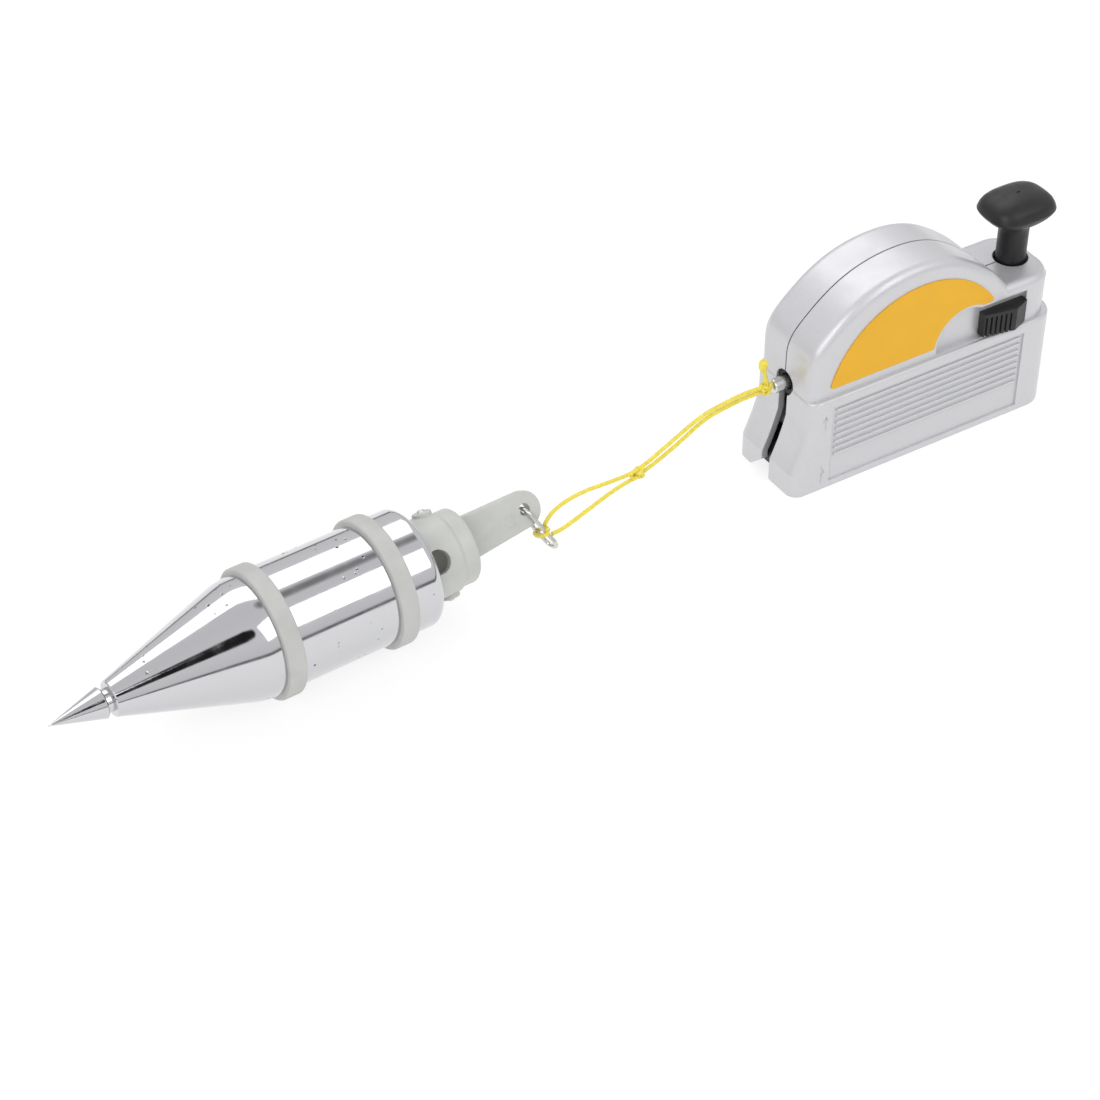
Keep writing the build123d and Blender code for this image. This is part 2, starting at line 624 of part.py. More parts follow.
def make_nose_fittings():
    guide_x0 = NOSE_X + GUIDE_RECESS
    guide = rod_x(0, LINE_HEIGHT, EXIT_HOLE_RADIUS, guide_x0, guide_x0 + GUIDE_LENGTH)
    guide -= rod_x(0, LINE_HEIGHT, GUIDE_BORE_RADIUS, guide_x0 - 1, guide_x0 + GUIDE_LENGTH + 1)
    save("nose_guide", guide)
    ferrule = rod_x(0, LINE_HEIGHT, FERRULE_RADIUS, FERRULE_TIP_X, DRAWN_X0)
    save("line_ferrule", fillet(ferrule.edges().filter_by(GeomType.CIRCLE), 0.5))


# ---------------------------------------------------------------------------
# Line lock
# ---------------------------------------------------------------------------
def make_lock():
    back_y = TRACK_FLOOR_Y - LOCK_CLEARANCE
    front_y = -UPPER_HALF - BUTTON_PROUD
    apex_x, apex_y = BUTTON_X0 + BUTTON_APEX, -UPPER_HALF - APEX_PROUD
    plan = make_face(Polyline((BUTTON_X0, back_y), (BUTTON_X0, front_y), (apex_x, apex_y), (BUTTON_X1, front_y),
                              (BUTTON_X1, back_y), close=True))
    button = extrude(Plane.XY.offset(BUTTON_Z0) * plan, amount=BUTTON_Z1 - BUTTON_Z0)
    rib_pitch = (BUTTON_APEX - 1) / BUTTON_RIBS
    slope = degrees(atan2(apex_y - front_y, BUTTON_APEX))
    for i in range(BUTTON_RIBS):
        along = rib_pitch * (i + 0.5)
        groove = Box(BUTTON_GROOVE, 2 * BUTTON_GROOVE, BUTTON_Z1 - BUTTON_Z0 - 1.0)
        centre = Pos(BUTTON_X0 + along, front_y + (apex_y - front_y) * along / BUTTON_APEX,
                     (BUTTON_Z0 + BUTTON_Z1) / 2 - 0.5)
        button -= centre * Rot(0, 0, slope) * groove
    inner_y = PAD_Y + LOCK_CLEARANCE
    button += block(STEM_X0, STEM_X0 + STEM_LENGTH, back_y, inner_y, STEM_Z0, STEM_Z0 + STEM_HEIGHT)
    save("lock_slider", button)
    # inside: a plate that rides on the pad, with an arm behind the brake shoe
    shoe_x1 = REEL_X + BRAKE_RADIUS + LOCK_TRAVEL + BRAKE_THICKNESS
    z0, z1 = REEL_Z - BRAKE_HEIGHT / 2, REEL_Z + BRAKE_HEIGHT / 2
    plate = block(shoe_x1, STEM_X0 + STEM_LENGTH + 1.5, inner_y, inner_y + PLATE_THICKNESS,
                  PLATE_Z0, PLATE_Z1)
    plate += block(shoe_x1, shoe_x1 + 1.4, inner_y, FLANGE_INNER, z0, z1)
    save("slider_plate", plate)
    shoe = block(shoe_x1 - BRAKE_THICKNESS - 1, shoe_x1, -SPOOL_HALF_WIDTH + 0.3, FLANGE_INNER, z0, z1)
    shoe -= rod_y(REEL_X + LOCK_TRAVEL, REEL_Z, BRAKE_RADIUS, -10, 10)
    save("brake_shoe", shoe)
    z = TRACK_TOP_Z - LEAF_DROP
    leaf = [(TRACK_X + x, z + rise) for x, rise in ((-2, 0), (5.5, 0), (7, 0.9), (8.5, 0), (14, 0))]
    back = [(x, z - LEAF_THICKNESS) for x, z in reversed(leaf)]
    save("detent_spring", slab(make_face(Polyline(*leaf, *back, close=True)), PAD_Y, PAD_Y + LEAF_WIDTH))


# ---------------------------------------------------------------------------
# Plunger
# ---------------------------------------------------------------------------
def make_plunger():
    head = extrude(Plane.XY.offset(HEAD_BOTTOM_Z) * RectangleRounded(
        2 * HEAD_HALF_LENGTH, 2 * HEAD_HALF_WIDTH, HEAD_CORNER), amount=HEAD_HEIGHT)
    head = fillet(head.edges().filter_by(lambda e: abs(e.tangent_at(0.5).Z) < 0.5), HEAD_ROUND)
    knob = Pos(PLUNGER_X, 0, 0) * head + rod_z(PLUNGER_X, 0, SHAFT_RADIUS, SHAFT_BOTTOM_Z,
                                              HEAD_BOTTOM_Z + 2)
    clip_z1 = SHELF_Z - 1.5 - LOCK_CLEARANCE
    clip_z0 = clip_z1 - CLIP_THICKNESS
    groove_radius = SHAFT_RADIUS - CLIP_GROOVE
    groove = rod_z(PLUNGER_X, 0, SHAFT_RADIUS + 1, clip_z0, clip_z1)
    groove -= rod_z(PLUNGER_X, 0, groove_radius, clip_z0, clip_z1)
    knob -= groove
    holder_z0 = SHAFT_BOTTOM_Z - PIN_HOLDER_LENGTH
    knob -= rod_z(PLUNGER_X, 0, PIN_HOLDER_RADIUS - 0.8, SHAFT_BOTTOM_Z, SHAFT_BOTTOM_Z + 4)
    save("push_knob", knob)
    clip = rod_z(PLUNGER_X, 0, CLIP_RADIUS, clip_z0, clip_z1)
    clip -= rod_z(PLUNGER_X, 0, groove_radius, clip_z0, clip_z1)
    clip -= block(PLUNGER_X, PLUNGER_X + 10, -groove_radius + 0.5, groove_radius - 0.5, clip_z0, clip_z1)
    save("plunger_clip", clip)
    holder = rod_z(PLUNGER_X, 0, PIN_HOLDER_RADIUS, holder_z0, SHAFT_BOTTOM_Z)
    holder += rod_z(PLUNGER_X, 0, PIN_HOLDER_RADIUS - 0.8, SHAFT_BOTTOM_Z, SHAFT_BOTTOM_Z + 4)
    holder -= rod_z(PLUNGER_X, 0, PIN_RADIUS, holder_z0, holder_z0 + 4)
    save("pin_holder", holder)
    point_z = PIN_TIP_Z + PIN_POINT
    pin = rod_z(PLUNGER_X, 0, PIN_RADIUS, point_z, holder_z0 + 4)
    pin += Pos(PLUNGER_X, 0, PIN_TIP_Z + PIN_POINT / 2) * Cone(0.1, PIN_RADIUS, PIN_POINT)
    save("needle_pin", pin)
    bush = rod_z(PLUNGER_X, 0, PLUNGER_BUSH_RADIUS, SHELF_Z, BUSH_TOP_Z)
    bush -= rod_z(PLUNGER_X, 0, SHAFT_RADIUS + SHAFT_CLEARANCE, SHELF_Z, BUSH_TOP_Z)
    save("plunger_bush", bush)
    foot = rod_z(PLUNGER_X, 0, FOOT_BUSH_RADIUS, 0, FOOT_BUSH_TOP_Z)
    foot += rod_z(PLUNGER_X, 0, FOOT_BUSH_FLANGE, FOOT_BUSH_TOP_Z - 1.5, FOOT_BUSH_TOP_Z)
    foot -= rod_z(PLUNGER_X, 0, PIN_RADIUS + PIN_CLEARANCE, 0, FOOT_BUSH_TOP_Z)
    save("foot_bush", foot)
    low = FOOT_BUSH_TOP_Z + SPRING_WIRE / 2 + 0.1
    height = SHAFT_BOTTOM_Z - FOOT_BUSH_TOP_Z - SPRING_WIRE - 0.2
    path = Pos(PLUNGER_X, 0, low) * Helix(height / SPRING_COILS, height, SPRING_RADIUS)
    section = Plane(origin=path @ 0, z_dir=path % 0) * Circle(SPRING_WIRE / 2)
    save("return_spring", sweep(section, path, is_frenet=True))


# ---------------------------------------------------------------------------
# Bob
# ---------------------------------------------------------------------------
def place(solid, where=BOB_PLACE):
    return where * solid


def make_bob_body():
    start = TIP_LENGTH + NECK_LENGTH
    seat = BOB_RADIUS - BAND_SEAT
    cone_start = (start + CONE_CHAMFER, CONE_SMALL_RADIUS)
    slope = (BOB_RADIUS - CONE_SMALL_RADIUS) / (CONE_CORNER_S - cone_start[0])
    blend = (CONE_BLEND_S, CONE_SMALL_RADIUS + slope * (CONE_BLEND_S - cone_start[0]))
    edges = [
        Line((start, 0), (start, CONE_SMALL_RADIUS - CONE_CHAMFER)),
        Line((start, CONE_SMALL_RADIUS - CONE_CHAMFER), cone_start),
        Line(cone_start, blend),
        Spline(blend, (CONE_END_S, BOB_RADIUS), tangents=[(1, slope), (1, 0)]),
        Line((CONE_END_S, BOB_RADIUS), (FRONT_BAND_S, BOB_RADIUS)),
    ]
    corners = [(FRONT_BAND_S, BOB_RADIUS)]
    for s in (FRONT_BAND_S, REAR_BAND_S):
        corners += [(s, seat), (s + BAND_WIDTH, seat), (s + BAND_WIDTH, BOB_RADIUS)]
        if s == FRONT_BAND_S:
            corners.append((REAR_BAND_S, BOB_RADIUS))
    corners += [(BODY_END_S, BOB_RADIUS), (BODY_END_S, 0), (start, 0)]
    outline = make_face(Wire(edges + list(Polyline(*corners).edges())))
    body = revolve(outline, Axis.X)
    rim = body.edges().filter_by(GeomType.CIRCLE).filter_by(
        lambda e: e.center().X > BODY_END_S - 0.1 and e.radius > BOB_RADIUS - 0.1)
    body = fillet(rim, SHOULDER_ROUND)
    body -= rod_x(0, 0, CAP_NECK_RADIUS, BODY_END_S - RECESS_DEPTH, BODY_END_S)
    body -= rod_x(0, 0, BORE_RADIUS, BODY_END_S - BORE_DEPTH, BODY_END_S)
    body -= rod_x(0, 0, TIP_STUD_RADIUS, start, start + TIP_STUD_LENGTH)
    save("bob_body", place(body))


def make_tip():
    start = TIP_LENGTH + NECK_LENGTH
    tip = turned([(0, 0), (TIP_LENGTH - 0.4, TIP_RADIUS), (TIP_LENGTH, TIP_RADIUS - 0.3),
                  (TIP_LENGTH, NECK_RADIUS), (start, NECK_RADIUS), (start, TIP_STUD_RADIUS),
                  (start + TIP_STUD_LENGTH, TIP_STUD_RADIUS), (start + TIP_STUD_LENGTH, 0)])
    save("tip_point", place(tip))


def make_bands():
    seat = BOB_RADIUS - BAND_SEAT
    for name, s in (("front_band", FRONT_BAND_S), ("rear_band", REAR_BAND_S)):
        ring = rod_x(0, 0, BAND_RADIUS, s, s + BAND_WIDTH)
        ring = fillet(ring.edges().filter_by(GeomType.CIRCLE), 0.6)
        ring -= rod_x(0, 0, seat, s - 1, s + BAND_WIDTH + 1)
        save(name, place(ring))


def make_cap():
    outer = turned([(BODY_END_S, 0), (BODY_END_S, CAP_FRONT_RADIUS), (PIVOT_S + 2, CAP_FRONT_RADIUS - 0.3),
                    (PIVOT_S + 3, CAP_REAR_RADIUS), (CAP_END_S, CAP_REAR_RADIUS), (CAP_END_S, 0)])
    rim = outer.edges().filter_by(GeomType.CIRCLE).filter_by(lambda e: e.center().X > CAP_END_S - 0.1)
    outer = fillet(rim, CAP_END_ROUND)
    outer += rod_x(0, 0, CAP_NECK_RADIUS, BODY_END_S - CAP_NECK_DEPTH, BODY_END_S)
    reach = CAP_FRONT_RADIUS + BOSS_PROUD
    boss = Pos(PIVOT_S, 0, 0) * Rot(90, 0, 0) * Cylinder(BOSS_RADIUS, 2 * reach)
    outer += fillet(boss.edges().filter_by(GeomType.CIRCLE), 0.5)
    outer -= rod_x(0, 0, CAP_INNER_RADIUS, BODY_END_S - CAP_NECK_DEPTH, CAP_END_S)
    outer -= Pos(PIVOT_S, 0, 0) * Rot(90, 0, 0) * Cylinder(CAP_PIN_RADIUS, 40)
    outer -= Pos(TONGUE_PIN_S, 0, 0) * Cylinder(WINDOW_RADIUS, 40)
    save("cap", place(outer))


def make_gimbal():
    """A ring that tilts on the cap's two pins and carries the tongue's pin across it."""
    to_tongue = Pos(TONGUE_PIN_S - PIVOT_S, 0, 0)
    ring = block(-RING_FRONT, RING_BACK, -RING_HALF_Y, RING_HALF_Y, -RING_HALF_Z, RING_HALF_Z)
    ring = fillet(ring.edges().filter_by(Axis.X), 1.5)
    ring -= block(-RING_FRONT, RING_BACK, RING_WALL_Y - RING_HALF_Y, RING_HALF_Y - RING_WALL_Y,
                  RING_WALL_Z - RING_HALF_Z, RING_HALF_Z - RING_WALL_Z)
    ring -= Rot(90, 0, 0) * Cylinder(CAP_PIN_RADIUS + RUNNING_CLEARANCE, 40)
    ring -= to_tongue * Cylinder(TONGUE_PIN_RADIUS, 40)
    at_pivot = Pos(PIVOT_S, 0, 0)
    save("gimbal_ring", place(at_pivot * ring))
    pins, washers = [], []
    outer_y = CAP_FRONT_RADIUS + BOSS_PROUD + CAP_PIN_PROUD
    inner_y = RING_HALF_Y - RING_WALL_Y + 0.1
    for side in (-1, 1):
        pin = Pos(0, side * (outer_y + inner_y) / 2, 0) * Rot(90, 0, 0) * Cylinder(
            CAP_PIN_RADIUS, outer_y - inner_y)
        rim = pin.edges().filter_by(GeomType.CIRCLE).sort_by(Axis.Y)[-1 if side > 0 else 0]
        pins.append(place(at_pivot * fillet(rim, 0.6)))
        gap = CAP_INNER_RADIUS - RING_HALF_Y
        disc = Pos(0, side * (RING_HALF_Y + gap / 2), 0) * Rot(90, 0, 0) * Cylinder(
            TILT_WASHER_RADIUS, gap - 0.9)
        disc -= Rot(90, 0, 0) * Cylinder(CAP_PIN_RADIUS, 40)
        washers.append(place(at_pivot * disc))
    save("cap_pins", *pins)
    save("tilt_washers", *washers)
    reach = RING_HALF_Z + TONGUE_PIN_PROUD
    pin = fillet(Cylinder(TONGUE_PIN_RADIUS, 2 * reach).edges(), 0.6)
    save("tongue_pin", place(at_pivot * to_tongue * pin))


def make_tongue():
    """A flat tapered arm: round foot on its pin, wide waist, round end with the link's hole."""
    half = TONGUE_THICKNESS / 2
    slim = RING_HALF_Z - RING_WALL_Z - 0.15
    outline = make_face(Polyline(
        (-2.6, -2.6), (TONGUE_NARROW_AT, -TONGUE_ROOT_HALF), (TONGUE_WIDE_AT, -TONGUE_HALF_WIDE),
        (TONGUE_HOLE_AT, -TONGUE_END_HALF), (TONGUE_HOLE_AT, TONGUE_END_HALF),
        (TONGUE_WIDE_AT, TONGUE_HALF_WIDE), (TONGUE_NARROW_AT, TONGUE_ROOT_HALF), (-2.6, 2.6), close=True))
    outline += Pos(TONGUE_HOLE_AT, 0) * Circle(TONGUE_END_HALF)
    arm = extrude(outline, amount=half, both=True)
    flats = arm.faces().filter_by(Axis.Z)
    arm = fillet(flats.edges(), 0.5)
    arm += Cylinder(3.0, 2 * slim)
    arm -= Cylinder(TONGUE_PIN_RADIUS + RUNNING_CLEARANCE, 20)
    arm -= Pos(TONGUE_HOLE_AT, 0, 0) * Cylinder(TONGUE_HOLE_RADIUS, 20)
    save("tongue", place(arm, TONGUE_PLACE))


def make_link():
    """A bent wire loop. Its plane holds the hole's axis, so its two sides straddle the tongue."""
    near = -0.3
    far = LINK_REACH
    r = LINK_HALF_GAP
    mid = (near + far) / 2
    loop = [
        Line((mid + LINK_WIRE_GAP, -r), (far - r, -r)),
        ThreePointArc((far - r, -r), (far, 0), (far - r, r)),
        Line((far - r, r), (near + r, r)),
        ThreePointArc((near + r, r), (near, 0), (near + r, -r)),
        Line((near + r, -r), (mid, -r)),
    ]
    path = Plane.XZ * Wire(loop)
    section = Plane(origin=path @ 0, z_dir=path % 0) * Circle(LINK_WIRE / 2)
    save("wire_link", place(sweep(section, path), LINK_PLACE))


# ---------------------------------------------------------------------------
# Leader cord and its knots
# ---------------------------------------------------------------------------
def bend_radii(points):
    """For each corner, the arc that uses 0.45 of its shorter run."""
    radii = []
    for a, b, c in zip(points, points[1:], points[2:]):
        first, second = Vector(*b) - Vector(*a), Vector(*c) - Vector(*b)
        half_turn = radians(first.get_angle(second)) / 2
        radii.append(0.45 * min(first.length, second.length) / tan(half_turn))
    return radii


def make_strand(name, route):
    radii = bend_radii(route)
    path = FilletPolyline(*route, radius=radii)
    section = Plane(origin=path @ 0, z_dir=path % 0) * Circle(CORD_DIAMETER / 2)
    tube = sweep(section, path)
    full = path.length * pi * CORD_DIAMETER**2 / 4
    print(name, "length", round(path.length, 1), "radii", [round(r, 1) for r in radii],
          "volume ratio", round(tube.volume / full, 4))
    save(name, tube)


def make_knots():
    knot = Pos(*NOSE_KNOT_AT) * Sphere(NOSE_KNOT_RADIUS)
    knot += tube_between(NOSE_KNOT_AT, TAIL_TOP, CORD_DIAMETER / 2)
    knot += Pos(*TAIL_TOP) * Sphere(TAIL_BULB_RADIUS)
    save("nose_knot", knot)
    slope = degrees(atan2(UPPER_ROUTE[4][2] - UPPER_ROUTE[5][2], UPPER_ROUTE[4][0] - UPPER_ROUTE[5][0]))
    save("middle_knot", Pos(*MIDDLE_KNOT_AT) * Rot(0, -slope, 0) * scale(Sphere(1), by=MIDDLE_KNOT_RADII))
    # an oval turn of cord round both sides of the link
    end = LINK_WIRE / 2 + CORD_DIAMETER / 2 + HITCH_GAP
    r = LINK_HALF_GAP
    loop = [
        Line((-r, -end), (r, -end)), ThreePointArc((r, -end), (r + end, 0), (r, end)),
        Line((r, end), (-r, end)), ThreePointArc((-r, end), (-r - end, 0), (-r, -end)),
    ]
    path = Plane(origin=(HITCH_AT, 0, 0), x_dir=(0, 0, 1), z_dir=(1, 0, 0)) * Wire(loop)
    section = Plane(origin=path @ 0, z_dir=path % 0) * Circle(CORD_DIAMETER / 2)
    save("link_hitch", place(sweep(section, path), LINK_PLACE))


make_strand("cord_upper", UPPER_ROUTE)
make_strand("cord_lower", LOWER_ROUTE)
make_knots()
make_shells()
make_label()
make_screws()
make_magnet_foot()
make_spool()
make_mainspring()
make_wound_line()
make_line_run()
make_nose_fittings()
make_lock()
make_plunger()
make_bob_body()
make_tip()
make_bands()
make_cap()
make_gimbal()
make_tongue()
make_link()
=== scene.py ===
import json
from math import cos, pi, radians, sin

import bmesh
import bpy
from mathutils import Matrix, Vector


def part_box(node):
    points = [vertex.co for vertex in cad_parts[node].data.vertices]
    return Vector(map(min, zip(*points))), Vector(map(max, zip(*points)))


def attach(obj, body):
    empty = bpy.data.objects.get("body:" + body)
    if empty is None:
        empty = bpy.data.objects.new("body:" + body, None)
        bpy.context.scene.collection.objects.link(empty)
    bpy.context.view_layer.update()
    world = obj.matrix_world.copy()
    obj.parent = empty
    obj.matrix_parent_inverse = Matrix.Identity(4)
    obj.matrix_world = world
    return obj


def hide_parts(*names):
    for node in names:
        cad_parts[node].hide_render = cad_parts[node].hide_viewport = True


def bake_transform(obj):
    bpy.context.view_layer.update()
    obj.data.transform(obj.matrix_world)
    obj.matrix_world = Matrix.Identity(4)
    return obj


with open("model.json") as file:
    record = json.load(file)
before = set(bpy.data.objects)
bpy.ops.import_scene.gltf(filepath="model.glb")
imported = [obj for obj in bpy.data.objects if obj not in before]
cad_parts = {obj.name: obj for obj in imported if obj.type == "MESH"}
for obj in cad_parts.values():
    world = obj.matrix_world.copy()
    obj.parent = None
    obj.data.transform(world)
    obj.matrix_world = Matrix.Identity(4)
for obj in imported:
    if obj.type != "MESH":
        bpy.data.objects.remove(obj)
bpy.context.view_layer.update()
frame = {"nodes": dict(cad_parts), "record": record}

MM = 0.001
nodes = frame["nodes"]
scene = bpy.context.scene

# As in the CAD model: places and sizes in millimetres, and angles in degrees
LINE_Z = 29.6
BOB_TIP = (-255.7, -5.85, 17.5)
BOB_HEADING = 3.0
BOB_ROLL = 56.0
TONGUE_PIN_S = 104.6  # from the bob's tip
TONGUE_HOLE_AT = 31.7  # from the tongue's pin
TONGUE_TILT = 3.4
LINK_DROOP = 66.0
LINK_GAP = 2.25  # from the link's middle line to the wire on each side
LINK_WIRE_RADIUS = 0.55
HITCH_AT = 8.2  # from the tongue's hole, down the link


# ---------------------------------------------------------------------------
# Camera
# ---------------------------------------------------------------------------
camera_data = bpy.data.cameras.new("camera")
camera_data.sensor_width = 36
camera_data.lens = 91.64
camera_data.clip_end = 20
camera = bpy.data.objects.new("camera", camera_data)
camera.location = (-0.4084, -0.4740, 0.4733)
looks_along = Vector((0.4054, 0.6496, -0.6432))
camera.rotation_mode = "QUATERNION"
camera.rotation_quaternion = looks_along.to_track_quat("-Z", "Y")
scene.collection.objects.link(camera)
scene.camera = camera


# ---------------------------------------------------------------------------
# Materials: every one is made of nodes
# ---------------------------------------------------------------------------
class Nodes:
    """A material's node tree with short calls for the nodes used here."""

    def __init__(self, name, color, rough, metallic=0.0, **sockets):
        self.material = bpy.data.materials.new(name)
        self.material.use_nodes = True
        self.tree = self.material.node_tree
        self.shader = self.tree.nodes["Principled BSDF"]
        self.shader.inputs["Base Color"].default_value = (*color, 1)
        self.shader.inputs["Roughness"].default_value = rough
        self.shader.inputs["Metallic"].default_value = metallic
        for socket, value in sockets.items():
            self.shader.inputs[socket.replace("_", " ")].default_value = value
        self.place = self.tree.nodes.new("ShaderNodeTexCoord").outputs["Object"]
        self.bump_out = None

    def add(self, kind, **values):
        node = self.tree.nodes.new("ShaderNode" + kind)
        for key, value in values.items():
            setattr(node, key, value)
        return node

    def noise(self, scale, detail=3.0, stretch=None):
        """Noise in the row frame; scale is in features per metre."""
        node = self.add("TexNoise")
        node.inputs["Scale"].default_value = scale
        node.inputs["Detail"].default_value = detail
        source = self.place
        if stretch:
            mapping = self.add("Mapping")
            mapping.inputs["Scale"].default_value = stretch
            self.tree.links.new(source, mapping.inputs["Vector"])
            source = mapping.outputs["Vector"]
        self.tree.links.new(source, node.inputs["Vector"])
        return node.outputs["Fac"]

    def ramp(self, source, low, high, a, b):
        """Values from a to b while the source goes from low to high."""
        node = self.add("MapRange")
        for key, value in zip(("From Min", "From Max", "To Min", "To Max"), (low, high, a, b)):
            node.inputs[key].default_value = value
        self.tree.links.new(source, node.inputs["Value"])
        return node.outputs["Result"]

    def tint(self, source, color_a, color_b):
        node = self.add("Mix", data_type="RGBA")
        node.inputs["A"].default_value = (*color_a, 1)
        node.inputs["B"].default_value = (*color_b, 1)
        self.tree.links.new(source, node.inputs["Factor"])
        self.tree.links.new(node.outputs["Result"], self.shader.inputs["Base Color"])

    def rough(self, source):
        self.tree.links.new(source, self.shader.inputs["Roughness"])

    def bump(self, source, distance, strength=1.0):
        node = self.add("Bump")
        node.inputs["Strength"].default_value = strength
        node.inputs["Distance"].default_value = distance
        self.tree.links.new(source, node.inputs["Height"])
        if self.bump_out:
            self.tree.links.new(self.bump_out, node.inputs["Normal"])
        self.bump_out = node.outputs["Normal"]
        self.tree.links.new(self.bump_out, self.shader.inputs["Normal"])

    def soft_edges(self, radius):
        node = self.add("Bevel", samples=4)
        node.inputs["Radius"].default_value = radius
        self.bump_out = node.outputs["Normal"]
        self.tree.links.new(self.bump_out, self.shader.inputs["Normal"])


def plastic(name, color, rough, edge=0.25 * MM, grain=0.02 * MM, spread=0.04, **sockets):
    """Moulded plastic: slightly uneven tone, fine texture and softened edges."""
    m = Nodes(name, color, rough, **sockets)
    m.soft_edges(edge)
    cloud = m.noise(140, 4)
    m.tint(m.ramp(cloud, 0.3, 0.7, 0, 1), tuple(c * (1 - spread) for c in color),
           tuple(min(1, c * (1 + spread)) for c in color))
    m.rough(m.ramp(m.noise(420, 3), 0.3, 0.7, rough - 0.05, rough + 0.07))
    m.bump(m.noise(2600, 2), grain)
    return m.material


def metal(name, color, rough, stretch=(1, 1, 1), edge=0.12 * MM, scratch=0.01 * MM):
    """Plain plated or turned metal with fine marks along one way."""
    m = Nodes(name, color, rough, 1.0)
    m.soft_edges(edge)
    lines = m.noise(1500, 2, stretch)
    m.tint(m.ramp(m.noise(220, 3), 0.35, 0.7, 0, 1), tuple(c * 0.86 for c in color), color)
    m.rough(m.ramp(lines, 0.3, 0.7, rough - 0.06, rough + 0.1))
    m.bump(lines, scratch)
    return m.material


def silver_case():
    """Silver-painted plastic: metal flake in a satin coat, and painted shade in the groove where the shells
    meet.
    """
    m = Nodes("case_silver", (0.60, 0.60, 0.61), 0.36, 0.45, Coat_Weight=0.25, Coat_Roughness=0.28)
    m.soft_edges(0.35 * MM)
    flake = m.noise(5200, 1)
    # painted shade: the paint turns dark within 0.2 mm of the plane where the shells meet, standing in for
    # the shade in the groove between them
    across = m.add("SeparateXYZ")
    m.tree.links.new(m.place, across.inputs["Vector"])
    off_plane = m.add("Math", operation="ABSOLUTE")
    m.tree.links.new(across.outputs["Y"], off_plane.inputs[0])
    outside_seam_shade = m.ramp(off_plane.outputs["Value"], 0.13 * MM, 0.20 * MM, 0, 1)
    paint = m.add("Mix", data_type="RGBA")
    paint.inputs["A"].default_value = (0.555, 0.555, 0.575, 1)
    paint.inputs["B"].default_value = (0.62, 0.62, 0.64, 1)
    m.tree.links.new(m.ramp(flake, 0.32, 0.68, 0, 1), paint.inputs["Factor"])
    # the dark colour of the painted shade in the groove between the shells
    painted_seam_shade = m.add("Mix", data_type="RGBA")
    painted_seam_shade.inputs["A"].default_value = (0.09, 0.09, 0.10, 1)
    m.tree.links.new(outside_seam_shade, painted_seam_shade.inputs["Factor"])
    m.tree.links.new(paint.outputs["Result"], painted_seam_shade.inputs["B"])
    m.tree.links.new(painted_seam_shade.outputs["Result"], m.shader.inputs["Base Color"])
    m.rough(m.ramp(m.noise(160, 5), 0.3, 0.75, 0.31, 0.45))
    m.bump(flake, 0.006 * MM, 0.5)
    return m.material


def chrome_cast():
    """Chromed casting: mirror bright, with scattered small pits and faint waviness."""
    bright, pitted = (0.61, 0.61, 0.63), (0.07, 0.07, 0.08)
    m = Nodes("bob_chrome", bright, 0.06, 1.0)
    m.soft_edges(0.2 * MM)
    cell = m.add("TexVoronoi", feature="F1")
    cell.inputs["Scale"].default_value = 420
    m.tree.links.new(m.place, cell.inputs["Vector"])
    pit = m.ramp(cell.outputs["Distance"], 0.10, 0.20, 1, 0)
    chance = m.ramp(m.noise(60, 2), 0.52, 0.60, 0, 1)
    both = m.add("Math", operation="MULTIPLY")
    m.tree.links.new(pit, both.inputs[0])
    m.tree.links.new(chance, both.inputs[1])
    m.tint(both.outputs["Value"], bright, pitted)
    m.rough(m.ramp(m.noise(260, 5), 0.35, 0.8, 0.045, 0.16))
    m.bump(m.noise(24, 2), 0.10 * MM, 0.5)
    m.bump(m.noise(520, 3), 0.004 * MM, 0.6)
    m.bump(m.ramp(both.outputs["Value"], 0, 1, 1, 0), 0.08 * MM)
    return m.material


def braided(name, color):
    """Braided cord: fine fibres, a little sheen and an uneven dye."""
    m = Nodes(name, color, 0.55, Sheen_Weight=0.25, Sheen_Roughness=0.4)
    fibre = m.noise(5200, 2)
    m.tint(m.ramp(m.noise(900, 3), 0.3, 0.7, 0, 1), tuple(c * 0.82 for c in color), color)
    m.bump(fibre, 0.05 * MM, 0.7)
    m.rough(m.ramp(fibre, 0.3, 0.7, 0.42, 0.66))
    return m.material


